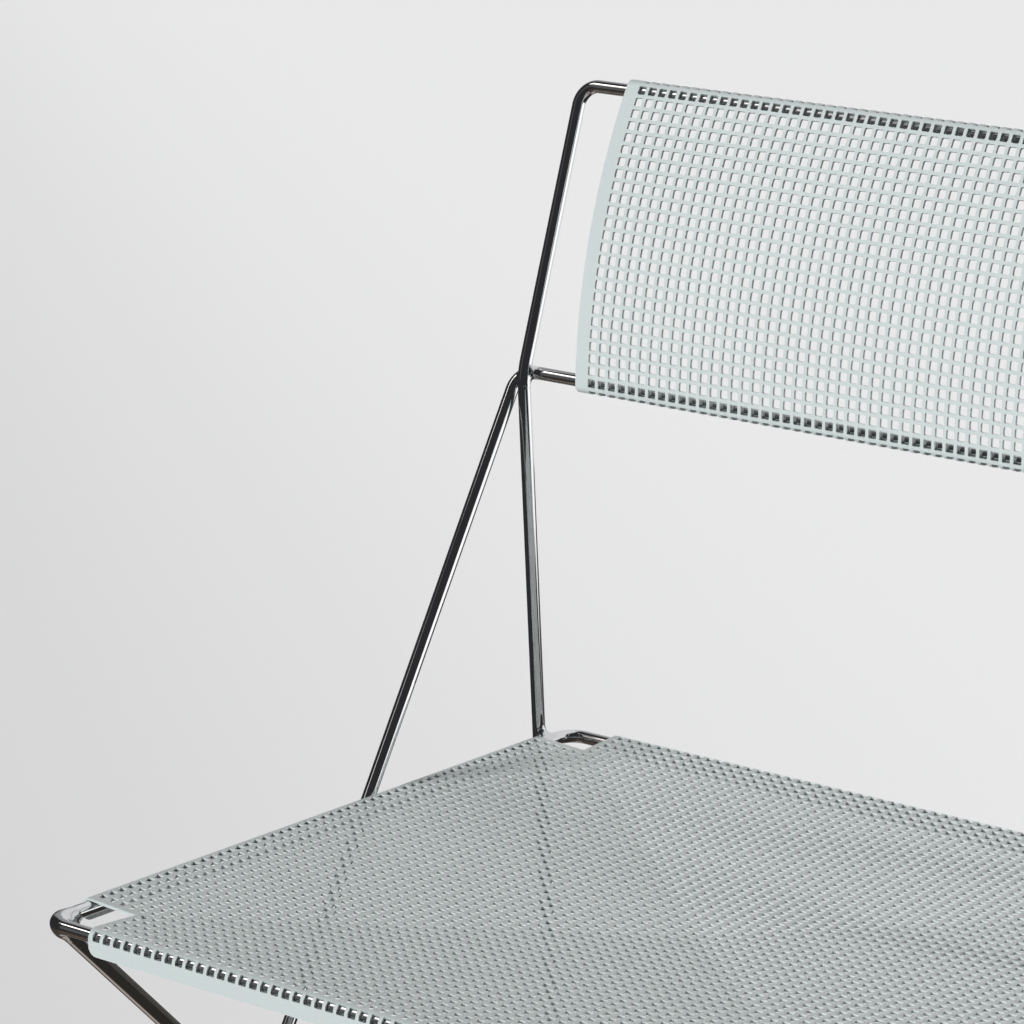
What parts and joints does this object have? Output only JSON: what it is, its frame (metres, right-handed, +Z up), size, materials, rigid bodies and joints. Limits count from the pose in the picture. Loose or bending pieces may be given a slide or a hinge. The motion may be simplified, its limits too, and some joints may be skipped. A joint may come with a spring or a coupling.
{
  "type": "garden chair",
  "caption": "Stacking garden chair with a welded bent-rod frame, crossed side legs, a dished perforated sheet seat and an arched perforated sheet back.",
  "frame": {"origin": "on the floor, under the middle of the chair's outline", "axes": "+Z up, -Y the way the sitter faces, +X to the right of someone who faces the chair's front"},
  "size_m": [0.4998, 0.5076, 0.7777],
  "materials": {
    "chrome_rod": "polished plating over round steel rod",
    "weld_bead": "plated weld filler, a little uneven",
    "coated_sheet": "satin powder coat, pale mint grey",
    "glide_plastic": "moulded, matt black"
  },
  "bodies": {
    "root": {"seat_ring": "chrome_rod", "back_leg_frame": "chrome_rod", "front_leg_frame": "chrome_rod", "strut_left": "chrome_rod", "strut_right": "chrome_rod", "seat_panel": "coated_sheet", "back_panel": "coated_sheet", "glide_front_left": "glide_plastic", "glide_front_right": "glide_plastic", "glide_back_left": "glide_plastic", "glide_back_right": "glide_plastic", "weld_seat_corner": "weld_bead", "weld_back_rail": "weld_bead", "weld_leg_crossing": "weld_bead", "weld_rear_foot": "weld_bead", "weld_front_corner": "weld_bead"}
  },
  "joints": []
}
